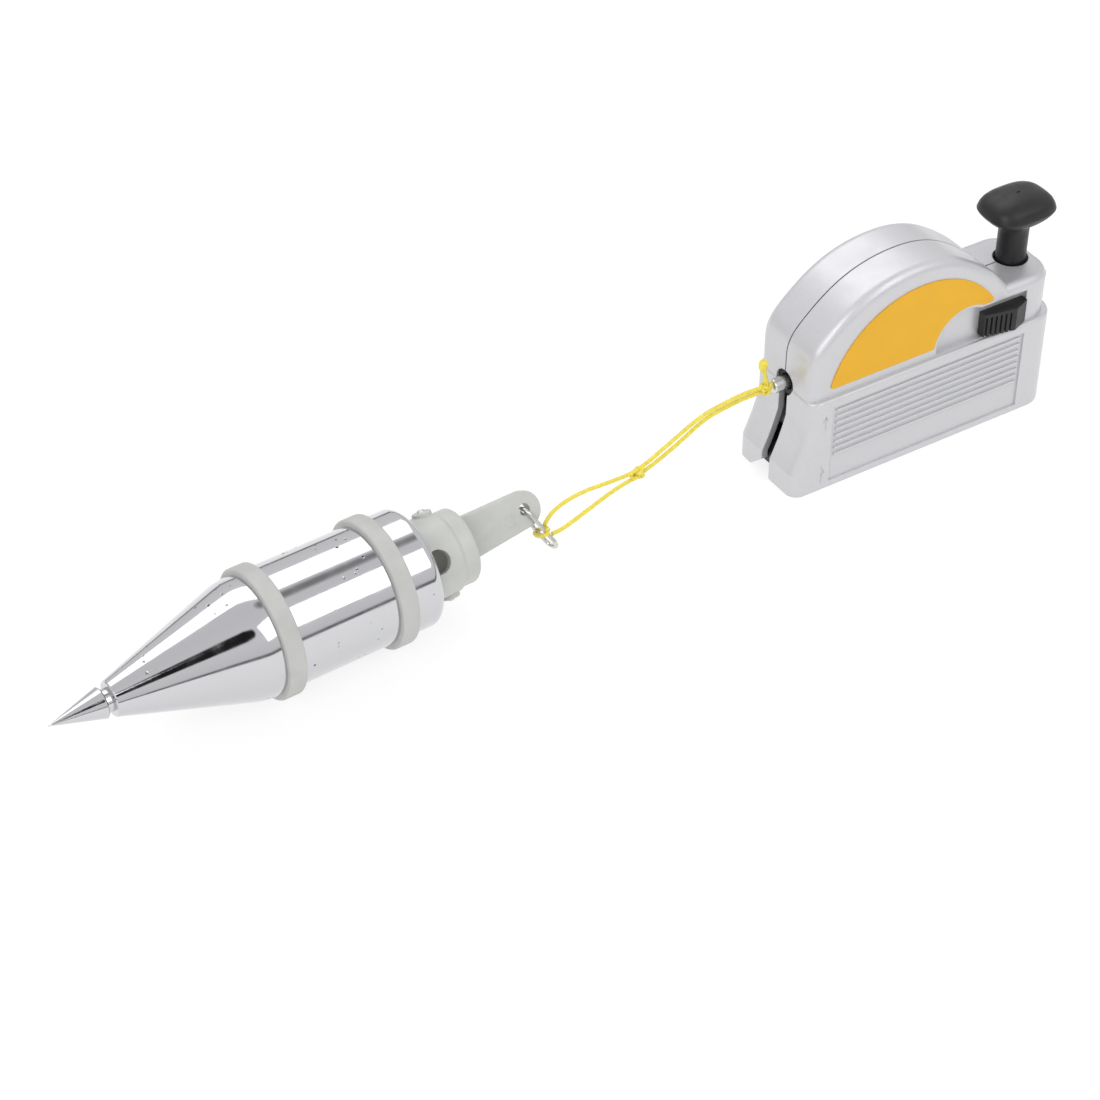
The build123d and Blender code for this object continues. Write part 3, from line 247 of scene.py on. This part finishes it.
finishes = {
    "case_grey": silver_case(),
    "label_yellow": plastic("label_yellow", (0.75, 0.40, 0.014), 0.44, edge=0.08 * MM, grain=0.004 * MM,
                            spread=0.025, Specular_IOR_Level=0.3),
    "knob_black": plastic("knob_black", (0.011, 0.011, 0.012), 0.40, edge=0.3 * MM, grain=0.03 * MM,
                          spread=0.2, Specular_IOR_Level=0.4),
    "trim_black": plastic("trim_black", (0.010, 0.010, 0.010), 0.5, edge=0.15 * MM, spread=0.15,
                          Specular_IOR_Level=0.35),
    "cap_grey": plastic("cap_grey", (0.50, 0.51, 0.485), 0.42, edge=0.3 * MM, grain=0.03 * MM, spread=0.05,
                        Subsurface_Weight=0.05, Subsurface_Radius=(0.001, 0.001, 0.001)),
    "band_grey": plastic("band_grey", (0.47, 0.475, 0.455), 0.55, edge=0.3 * MM, grain=0.04 * MM,
                         spread=0.06),
    "bob_chrome": chrome_cast(),
    "plated_steel": metal("plated_steel", (0.66, 0.66, 0.65), 0.22),
    "spring_steel": metal("spring_steel", (0.22, 0.24, 0.30), 0.3),
    "magnet_steel": metal("magnet_steel", (0.10, 0.10, 0.10), 0.5),
    "pole_steel": metal("pole_steel", (0.13, 0.13, 0.13), 0.42, stretch=(0.1, 1, 1)),
    "bush_brass": metal("bush_brass", (0.70, 0.52, 0.22), 0.28),
    "ferrule_metal": metal("ferrule_metal", (0.72, 0.72, 0.70), 0.24),
    "spool_white": plastic("spool_white", (0.72, 0.72, 0.68), 0.4),
    "washer_white": plastic("washer_white", (0.78, 0.78, 0.74), 0.4, edge=0.1 * MM),
    "brake_rubber": plastic("brake_rubber", (0.04, 0.04, 0.04), 0.7),
    "cord_yellow": braided("cord_yellow", (0.86, 0.72, 0.075)),
}
slot_of = {s["node"]: s["material_slot"] for s in frame["record"]["subparts"]}
for name, node in nodes.items():
    node.data.materials.clear()
    node.data.materials.append(finishes[slot_of[name]])
    node.data.shade_smooth()
    node.data.set_sharp_from_angle(angle=radians(32))


# ---------------------------------------------------------------------------
# Mesh helpers
# ---------------------------------------------------------------------------
def add_mesh(name, verts, faces, slot, smooth=35):
    """A new piece from points and faces, smooth where its faces meet at less than the given angle."""
    mesh = bpy.data.meshes.new(name)
    mesh.from_pydata([tuple(v) for v in verts], [], faces)
    mesh.validate()
    bm = bmesh.new()
    bm.from_mesh(mesh)
    bmesh.ops.recalc_face_normals(bm, faces=bm.faces)
    bm.to_mesh(mesh)
    bm.free()
    mesh.shade_smooth()
    mesh.set_sharp_from_angle(angle=radians(smooth))
    mesh.materials.append(finishes[slot])
    obj = bpy.data.objects.new(name, mesh)
    scene.collection.objects.link(obj)
    return obj


def tube_faces(rows, sides):
    """Faces round rows of points that go round a tube, and over both of its ends."""
    faces = []
    for i in range(rows - 1):
        for j in range(sides):
            k = (j + 1) % sides
            faces.append((i * sides + j, i * sides + k, (i + 1) * sides + k, (i + 1) * sides + j))
    faces.append(tuple(range(sides)))
    faces.append(tuple((rows - 1) * sides + j for j in range(sides)))
    return faces


def spline_points(route, resolution=24):
    """Points along the smooth NURBS line whose control points are the route."""
    curve = bpy.data.curves.new("line", "CURVE")
    curve.dimensions = "3D"
    spline = curve.splines.new("NURBS")
    spline.points.add(len(route) - 1)
    for point, place in zip(spline.points, route):
        point.co = (*[c * MM for c in place], 1)
    spline.order_u = 3
    spline.use_endpoint_u = True
    spline.resolution_u = resolution
    carrier = bpy.data.objects.new("line", curve)
    mesh = bpy.data.meshes.new_from_object(carrier)
    points = [v.co.copy() for v in mesh.vertices]
    bpy.data.objects.remove(carrier)
    bpy.data.meshes.remove(mesh)
    return points


def even_points(points, step):
    """The same line with points at even steps."""
    lengths = [0.0]
    for a, b in zip(points, points[1:]):
        lengths.append(lengths[-1] + (b - a).length)
    count = max(2, round(lengths[-1] / step))
    out, k = [], 0
    for i in range(count + 1):
        want = lengths[-1] * i / count
        while k < len(points) - 2 and lengths[k + 1] < want:
            k += 1
        span = lengths[k + 1] - lengths[k] or 1
        out.append(points[k].lerp(points[k + 1], (want - lengths[k]) / span))
    return out


def braid_tube(name, points, diameter, sides=20, pitch=2.2, depth=0.34):
    """A tube along the points whose surface has the over-and-under bumps of a braid."""
    verts = []
    count = len(points)
    tangents = [(points[min(i + 1, count - 1)] - points[max(i - 1, 0)]).normalized() for i in range(count)]
    side = tangents[0].orthogonal().normalized()
    run = 0.0
    radius = diameter / 2
    for i, (p, t) in enumerate(zip(points, tangents)):
        side = (side - t * side.dot(t)).normalized()
        other = t.cross(side)
        if i:
            run += (p - points[i - 1]).length
        turn = 2 * pi * run / (pitch * MM)
        for j in range(sides):
            a = 2 * pi * j / sides
            left, right = sin(2 * a + turn), sin(2 * a - turn)
            bump = 0.5 * (abs(left) ** 0.6 + abs(right) ** 0.6) if left * right > 0 else \
                0.5 * max(abs(left), abs(right))
            r = radius * (1 - depth + depth * bump)
            verts.append(p + (side * cos(a) + other * sin(a)) * r)
    return add_mesh(name, verts, tube_faces(count, sides), "cord_yellow", 80)


# ---------------------------------------------------------------------------
# Leader cord: two strands, with the knots tied in them
# ---------------------------------------------------------------------------
CORD = 1.3 * MM
KNOT_LOOP = 1.25 * MM
KNOT_TURN = 1.2 * MM
CORD_STEP = 0.16 * MM
UPPER_ROUTE = [
    (-46.5, 0.0, 30.6), (-51.5, 0.1, 30.9), (-57.5, 0.0, 30.4), (-65.8, -0.2, 29.4), (-75.5, -0.5, 24.8),
    (-86.4, -1.0, 19.8), (-95.4, -1.4, 20.2), (-103.6, -1.7, 20.9), (-110.2, -1.9, 19.9),
    (-114.3, -1.8, 17.3), (-115.2, -1.5, 14.5),
]
LOWER_ROUTE = [
    (-46.5, 0.0, 29.2), (-51.5, 0.0, 29.4), (-57.5, -0.1, 28.9), (-65.2, -0.3, 27.9), (-74.4, -0.6, 22.7),
    (-86.0, -1.1, 18.2), (-92.9, -1.3, 17.2), (-100.4, -1.8, 14.9), (-106.9, -2.4, 13.0),
    (-111.2, -3.0, 12.2), (-114.0, -3.4, 12.5),
]


def knot_piece(name, route, node, diameter=CORD):
    """A short stretch of cord that belongs to a knot, in place of a CAD node where one is named."""
    points = even_points(spline_points(route), CORD_STEP)
    piece = braid_tube(name, points, diameter, sides=16)
    if node:
        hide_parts(node)
    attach(piece, "leader")
    return piece


def overhand(centre, along, up, size):
    """Control points of an overhand knot pulled tight: a trefoil flattened across the cord."""
    along, up = Vector(along).normalized(), Vector(up).normalized()
    across = along.cross(up).normalized()
    points = []
    steps = 12
    for i in range(steps + 1):
        t = 2 * pi * i / steps
        x = size[0] * (sin(t) + 1.6 * sin(2 * t)) / 2.6
        y = size[1] * (cos(t) - 1.6 * cos(2 * t)) / 2.6
        z = size[2] * -sin(3 * t)
        points.append(tuple(Vector(centre) + along * x + up * y + across * z))
    return points


# the knot at the nose and its upright tail
nose_loops = knot_piece("nose_knot_loops",
                        overhand((-45.3, 0, 29.9), (-1, 0, 0), (0, 0, 1), (1.9, 1.75, 1.05)),
                        "nose_knot", KNOT_LOOP)
nose_turn = knot_piece("nose_knot_turn",
                       overhand((-45.5, 0, 30.0), (0, 1, 0), (0, 0, 1), (1.3, 1.9, 1.2)),
                       None, KNOT_TURN)
nose_tail = knot_piece("nose_knot_tail",
                       [(-45.0, 0.1, 30.6), (-45.5, -0.6, 32.0), (-46.0, -0.3, 34.2),
                        (-46.3, 0.1, 36.4), (-46.6, 0.0, 38.4)], None)

# the knot half way along, square to the cord there
MIDDLE_UP = (-0.43, 0, 0.90)
middle_loops = knot_piece("middle_knot_loops",
                          overhand((-86.2, -1.05, 19.0), (-0.90, -0.04, -0.43), MIDDLE_UP, (2.5, 1.55, 1.0)),
                          "middle_knot", KNOT_LOOP)
middle_turn = knot_piece("middle_knot_turn",
                         overhand((-85.8, -1.05, 19.2), (0.0, 1, 0.1), MIDDLE_UP, (1.1, 1.55, 1.0)),
                         None, KNOT_TURN)


BEAD_CENTRE = (-46.6, 0, 37.9)
BEAD_HALF_SIZES = (1.3, 1.2, 1.95)


def melted_end():
    """The bead where the tail's end was melted."""
    bm = bmesh.new()
    bmesh.ops.create_icosphere(bm, subdivisions=4, radius=1.0)
    for v in bm.verts:
        ripple = 1 + 0.07 * sin(5 * v.co.x + 3 * v.co.z) * cos(4 * v.co.y)
        reach = Vector([c * half for c, half in zip(v.co, BEAD_HALF_SIZES)])
        v.co = Vector(BEAD_CENTRE) * MM + reach * ripple * MM
    mesh = bpy.data.meshes.new("tail_bead")
    bm.to_mesh(mesh)
    bm.free()
    mesh.shade_smooth()
    mesh.materials.append(finishes["cord_yellow"])
    obj = bpy.data.objects.new("tail_bead", mesh)
    scene.collection.objects.link(obj)
    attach(obj, "leader")
    return obj


bead = melted_end()


def strand(name, route, node):
    """One strand of the leader: a braided tube along the route, in place of its CAD node."""
    line = spline_points(route)
    piece = braid_tube(name, even_points(line, CORD_STEP), CORD)
    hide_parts(node)
    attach(piece, "leader")
    step = max(1, len(line) // 120)
    path = [tuple(p) for p in line[::step]]
    if (Vector(path[-1]) - line[-1]).length > 1e-7:
        path.append(tuple(line[-1]))


strand("leader_upper", UPPER_ROUTE, "cord_upper")
strand("leader_lower", LOWER_ROUTE, "cord_lower")


# ---------------------------------------------------------------------------
# Bob frame, as in the CAD model
# ---------------------------------------------------------------------------
def frame_matrix(x, y, z, place):
    """The matrix of a frame with these axes, at a place in millimetres."""
    turn = Matrix((x, y, z)).transposed().to_4x4()
    return Matrix.Translation(Vector(place) * MM) @ turn


def moved(distance):
    """A move along a frame's own X, in millimetres."""
    return Matrix.Translation((distance * MM, 0, 0))


def turned(degrees):
    """A turn about a frame's own Z."""
    return Matrix.Rotation(radians(degrees), 4, "Z")


heading, roll = radians(BOB_HEADING), radians(BOB_ROLL)
bob_x = Vector((cos(heading), sin(heading), 0))
bob_z = Vector((sin(roll) * sin(heading), -sin(roll) * cos(heading), cos(roll)))
BOB = frame_matrix(bob_x, bob_z.cross(bob_x), bob_z, BOB_TIP)
TONGUE = BOB @ moved(TONGUE_PIN_S) @ turned(TONGUE_TILT)
LINK = TONGUE @ moved(TONGUE_HOLE_AT) @ turned(-TONGUE_TILT - LINK_DROOP)


def in_link(x, y, z):
    """A point of the link's frame as a place in the shared frame, both in millimetres."""
    p = LINK @ (Vector((x, y, z)) * MM)
    return tuple(c / MM for c in p)


def make_hitch(steps=16):
    """One turn of cord round both sides of the link."""
    half = LINK_WIRE_RADIUS + CORD / MM / 2 + 0.05
    route = []
    for i in range(steps + 1):
        a = 2 * pi * i / steps
        down = HITCH_AT + 0.75 * (i / steps - 0.5) + 0.1 * sin(3 * a)
        route.append(in_link(down, half * sin(a) * 1.02, (LINK_GAP + half * 0.98) * cos(a)))
    knot_piece("hitch_turn", route, "link_hitch")


make_hitch()


# ---------------------------------------------------------------------------
# The line in the nose, which gets longer as the line is pulled
# ---------------------------------------------------------------------------
def make_nose_line():
    """The run of line between the case and the leader's ferrule."""
    low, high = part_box("drawn_line")
    height = LINE_Z * MM
    points = even_points([Vector((low.x, 0, height)), Vector((high.x, 0, height))], CORD_STEP)
    line = braid_tube("nose_line", points, CORD)
    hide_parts("drawn_line")
    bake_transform(line)


make_nose_line()


# ---------------------------------------------------------------------------
# Push knob
# ---------------------------------------------------------------------------
# Rings of the knob, from the bottom of the shaft to the top of the head, in millimetres:
# height from the top, half length, half width, and how square the ring is (2 is an ellipse)
KNOB_RINGS = [
    (-37.6, 4.2, 4.2, 2.0), (-12.0, 4.2, 4.2, 2.0), (-10.2, 4.25, 4.22, 2.0), (-9.2, 4.8, 4.6, 2.1),
    (-8.3, 6.2, 5.6, 2.3), (-7.4, 8.0, 6.8, 2.6), (-6.5, 9.2, 7.5, 2.9), (-5.7, 9.85, 7.9, 3.1),
    (-5.2, 10.15, 8.08, 3.2), (-4.95, 10.28, 8.18, 3.2), (-4.7, 10.3, 8.2, 3.2), (-4.45, 10.2, 8.12, 3.2),
    (-3.6, 10.0, 7.95, 3.1), (-2.6, 9.5, 7.5, 3.0), (-1.75, 8.7, 6.8, 2.9), (-1.05, 7.5, 5.8, 2.8),
    (-0.5, 5.9, 4.5, 2.6), (-0.15, 3.8, 2.9, 2.4), (0.0, 1.2, 0.9, 2.0),
]


def rounded_square(half_length, half_width, power, sides):
    """Points round a superellipse."""
    points = []
    for j in range(sides):
        t = 2 * pi * j / sides
        c, s = cos(t), sin(t)
        points.append((half_length * abs(c) ** (2 / power) * (1 if c >= 0 else -1),
                       half_width * abs(s) ** (2 / power) * (1 if s >= 0 else -1)))
    return points


def make_knob(sides=96):
    """A pillow-shaped head, flared into its round shaft."""
    low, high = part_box("push_knob")
    cx, cy, top = (low.x + high.x) / 2, (low.y + high.y) / 2, high.z / MM
    verts = []
    for height, half_length, half_width, power in KNOB_RINGS:
        verts += [Vector((cx + x * MM, cy + y * MM, (top + height) * MM))
                  for x, y in rounded_square(half_length, half_width, power, sides)]
    knob = add_mesh("knob", verts, tube_faces(len(KNOB_RINGS), sides), "knob_black", 50)
    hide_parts("push_knob")
    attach(knob, "plunger")


def make_gate_mark(sides=24, half_length=0.9, half_width=0.35):
    """The small mark that the mould leaves on top of the knob."""
    low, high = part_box("push_knob")
    cx, cy, top = (low.x + high.x) / 2, (low.y + high.y) / 2, high.z / MM
    turns = [2 * pi * i / sides for i in range(sides)]
    mark = [(cx + half_length * MM * cos(t), cy + half_width * MM * sin(t)) for t in turns]
    verts = [Vector((x, y, (top - 0.05) * MM)) for x, y in mark]
    verts += [Vector((cx + (x - cx) * 0.7, cy + (y - cy) * 0.7, top * MM)) for x, y in mark]
    faces = [(i, (i + 1) % sides, sides + (i + 1) % sides, sides + i) for i in range(sides)]
    faces.append(tuple(range(sides, 2 * sides)))
    gate = add_mesh("knob_gate_mark", verts, faces, "knob_black")
    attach(gate, "plunger")


make_knob()
make_gate_mark()


# ---------------------------------------------------------------------------
# Moulded marks
# ---------------------------------------------------------------------------
def raised_lines(name, strokes, y, width, height):
    """Thin raised strokes on the case's front face, each from (x, z) to (x, z) in millimetres."""
    verts, faces = [], []
    for (x0, z0), (x1, z1) in strokes:
        run = Vector((x1 - x0, 0, z1 - z0)).normalized()
        across = run.cross(Vector((0, 1, 0))) * width / 2
        start = Vector((x0, y, z0)) - run * width / 2
        end = Vector((x1, y, z1)) + run * width / 2
        base = len(verts)
        low = [start - across, start + across, end + across, end - across]
        middle = sum(low, Vector()) / 4
        verts += [v * MM for v in low]
        verts += [(v + (middle - v) * 0.12 - Vector((0, height, 0))) * MM for v in low]
        faces += [(base + i, base + (i + 1) % 4, base + 4 + (i + 1) % 4, base + 4 + i) for i in range(4)]
        faces.append((base + 4, base + 5, base + 6, base + 7))
    marks = add_mesh(name, verts, faces, "case_grey")
    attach(marks, "case")


# In x and z on the front face
ARROW = [((-34.6, 20.0), (-34.6, 24.2)), ((-34.6, 24.2), (-35.3, 22.9)), ((-34.6, 24.2), (-33.9, 22.9))]
BROKEN_LINE = [((-34.9, 2.4), (-34.9, 5.2)), ((-34.9, 5.2), (-34.2, 5.9)), ((-34.2, 5.9), (-34.9, 6.6)),
               ((-34.9, 6.6), (-34.9, 8.2))]
raised_lines("end_marks", ARROW + BROKEN_LINE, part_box("front_shell")[0].y / MM, 0.32, 0.14)


TONGUE_FACE = 1.49  # a hair inside the tongue's upper face, so that a mark's rim is buried


def on_tongue(x, y, rise):
    """The place of a point on the tongue's upper face, given in the tongue's own frame."""
    return TONGUE @ (Vector((x, y, TONGUE_FACE + rise)) * MM)


def make_ring_mark(sides=40):
    """The round mark left beside the tongue's hole by the mould."""
    profile = ((1.25, 0.0), (1.38, 0.13), (1.62, 0.13), (1.75, 0.0))
    count = len(profile)
    verts, faces = [], []
    for i in range(sides):
        a = 2 * pi * i / sides
        verts += [on_tongue(26.6 + r * cos(a), -1.2 + r * sin(a), rise) for r, rise in profile]
    for i in range(sides):
        j = (i + 1) % sides
        faces += [(i * count + k, i * count + k + 1, j * count + k + 1, j * count + k)
                  for k in range(count - 1)]
    ring = add_mesh("tongue_ring_mark", verts, faces, "cap_grey", 60)
    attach(ring, "tongue")


def make_ridge(steps=24, rows=9):
    """The low ridge that runs slantwise along the tongue."""
    verts, faces = [], []
    for i in range(steps + 1):
        t = i / steps
        for j in range(rows):
            u = j / (rows - 1)
            rise = 0.2 * sin(pi * t) * sin(pi * u) ** 2
            verts.append(on_tongue(12.5 + 11.0 * t, -3.6 + 4.4 * t + 3.2 * (u - 0.5), rise))
    for i in range(steps):
        here, there = i * rows, (i + 1) * rows
        faces += [(here + k, here + k + 1, there + k + 1, there + k) for k in range(rows - 1)]
    ridge = add_mesh("tongue_ridge", verts, faces, "cap_grey", 60)
    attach(ridge, "tongue")


make_ring_mark()
make_ridge()


# ---------------------------------------------------------------------------
# Light, floor and surroundings
# ---------------------------------------------------------------------------
def make_floor(width=8.0, grey=0.25, glow=0.76):
    """A plain white floor that glows a little, so that shadows on it stay faint."""
    material = bpy.data.materials.new("floor_white")
    material.use_nodes = True
    shader = material.node_tree.nodes["Principled BSDF"]
    shader.inputs["Base Color"].default_value = (grey, grey, grey, 1)
    shader.inputs["Roughness"].default_value = 0.95
    shader.inputs["Emission Color"].default_value = (1, 1, 1, 1)
    shader.inputs["Emission Strength"].default_value = glow
    bpy.ops.mesh.primitive_plane_add(size=1, location=(0, 0, 0))
    floor = bpy.context.object
    floor.name = "floor"
    floor.scale = (width, width, 1)
    floor.data.materials.append(material)


def soft_box(name, place, aim, size, power):
    """A rectangular light at a place, turned towards a point."""
    data = bpy.data.lights.new(name, "AREA")
    data.shape = "RECTANGLE"
    data.size, data.size_y = size
    data.energy = power
    light = bpy.data.objects.new(name, data)
    light.location = place
    light.rotation_mode = "QUATERNION"
    light.rotation_quaternion = (Vector(aim) - Vector(place)).to_track_quat("-Z", "Y")
    scene.collection.objects.link(light)


# Brightness of the room from straight down (0) over the horizon (0.5) to straight up (1)
ROOM_BANDS = [(0.0, 0.9), (0.5, 0.85), (0.515, 0.2), (0.54, 0.25), (0.56, 0.9), (0.80, 1.0), (1.0, 0.9)]

# Dark cards that the chrome mirrors as streaks: direction, half angle of the card, half angle at
# which it has faded out, and how dark it is
DARK_CARDS = [((-0.265, -0.64, 0.712), 9, 12, 0.02), ((0.34, 0.035, 0.94), 3, 9, 0.35)]


def make_room(strength=0.85):
    """The pale room round the object, as the world's light."""
    world = bpy.data.worlds.new("studio")
    scene.world = world
    world.use_nodes = True
    tree = world.node_tree
    background = tree.nodes["Background"]
    background.inputs["Strength"].default_value = strength
    direction = tree.nodes.new("ShaderNodeTexCoord").outputs["Generated"]

    split = tree.nodes.new("ShaderNodeSeparateXYZ")
    height = tree.nodes.new("ShaderNodeMapRange")
    height.inputs["From Min"].default_value = -1
    height.inputs["From Max"].default_value = 1
    ramp = tree.nodes.new("ShaderNodeValToRGB")
    tree.links.new(direction, split.inputs["Vector"])
    tree.links.new(split.outputs["Z"], height.inputs["Value"])
    tree.links.new(height.outputs["Result"], ramp.inputs["Fac"])
    while len(ramp.color_ramp.elements) < len(ROOM_BANDS):
        ramp.color_ramp.elements.new(0.5)
    for element, (at, value) in zip(ramp.color_ramp.elements, ROOM_BANDS):
        element.position = at
        element.color = (value, value, value * 1.01, 1)

    colour = ramp.outputs["Color"]
    for towards, inner, outer, dark in DARK_CARDS:
        facing = tree.nodes.new("ShaderNodeVectorMath")
        facing.operation = "DOT_PRODUCT"
        facing.inputs[1].default_value = Vector(towards).normalized()
        fade = tree.nodes.new("ShaderNodeMapRange")
        fade.inputs["From Min"].default_value = cos(radians(outer))
        fade.inputs["From Max"].default_value = cos(radians(inner))
        fade.inputs["To Min"].default_value = 1
        fade.inputs["To Max"].default_value = dark
        shade = tree.nodes.new("ShaderNodeVectorMath")
        shade.operation = "MULTIPLY"
        tree.links.new(direction, facing.inputs[0])
        tree.links.new(facing.outputs["Value"], fade.inputs["Value"])
        tree.links.new(colour, shade.inputs[0])
        tree.links.new(fade.outputs["Result"], shade.inputs[1])
        colour = shade.outputs["Vector"]
    tree.links.new(colour, background.inputs["Color"])


make_floor()
soft_box("key", (-1.3, -0.85, 1.05), (-0.1, 0, 0), (1.1, 1.1), 8)
soft_box("top", (0.1, 0.9, 1.35), (-0.1, 0, 0), (1.5, 1.0), 6)
soft_box("front", (0.35, -1.0, 1.05), (-0.15, 0, 0), (0.9, 0.9), 4)
make_room()
scene.view_settings.view_transform = "Standard"
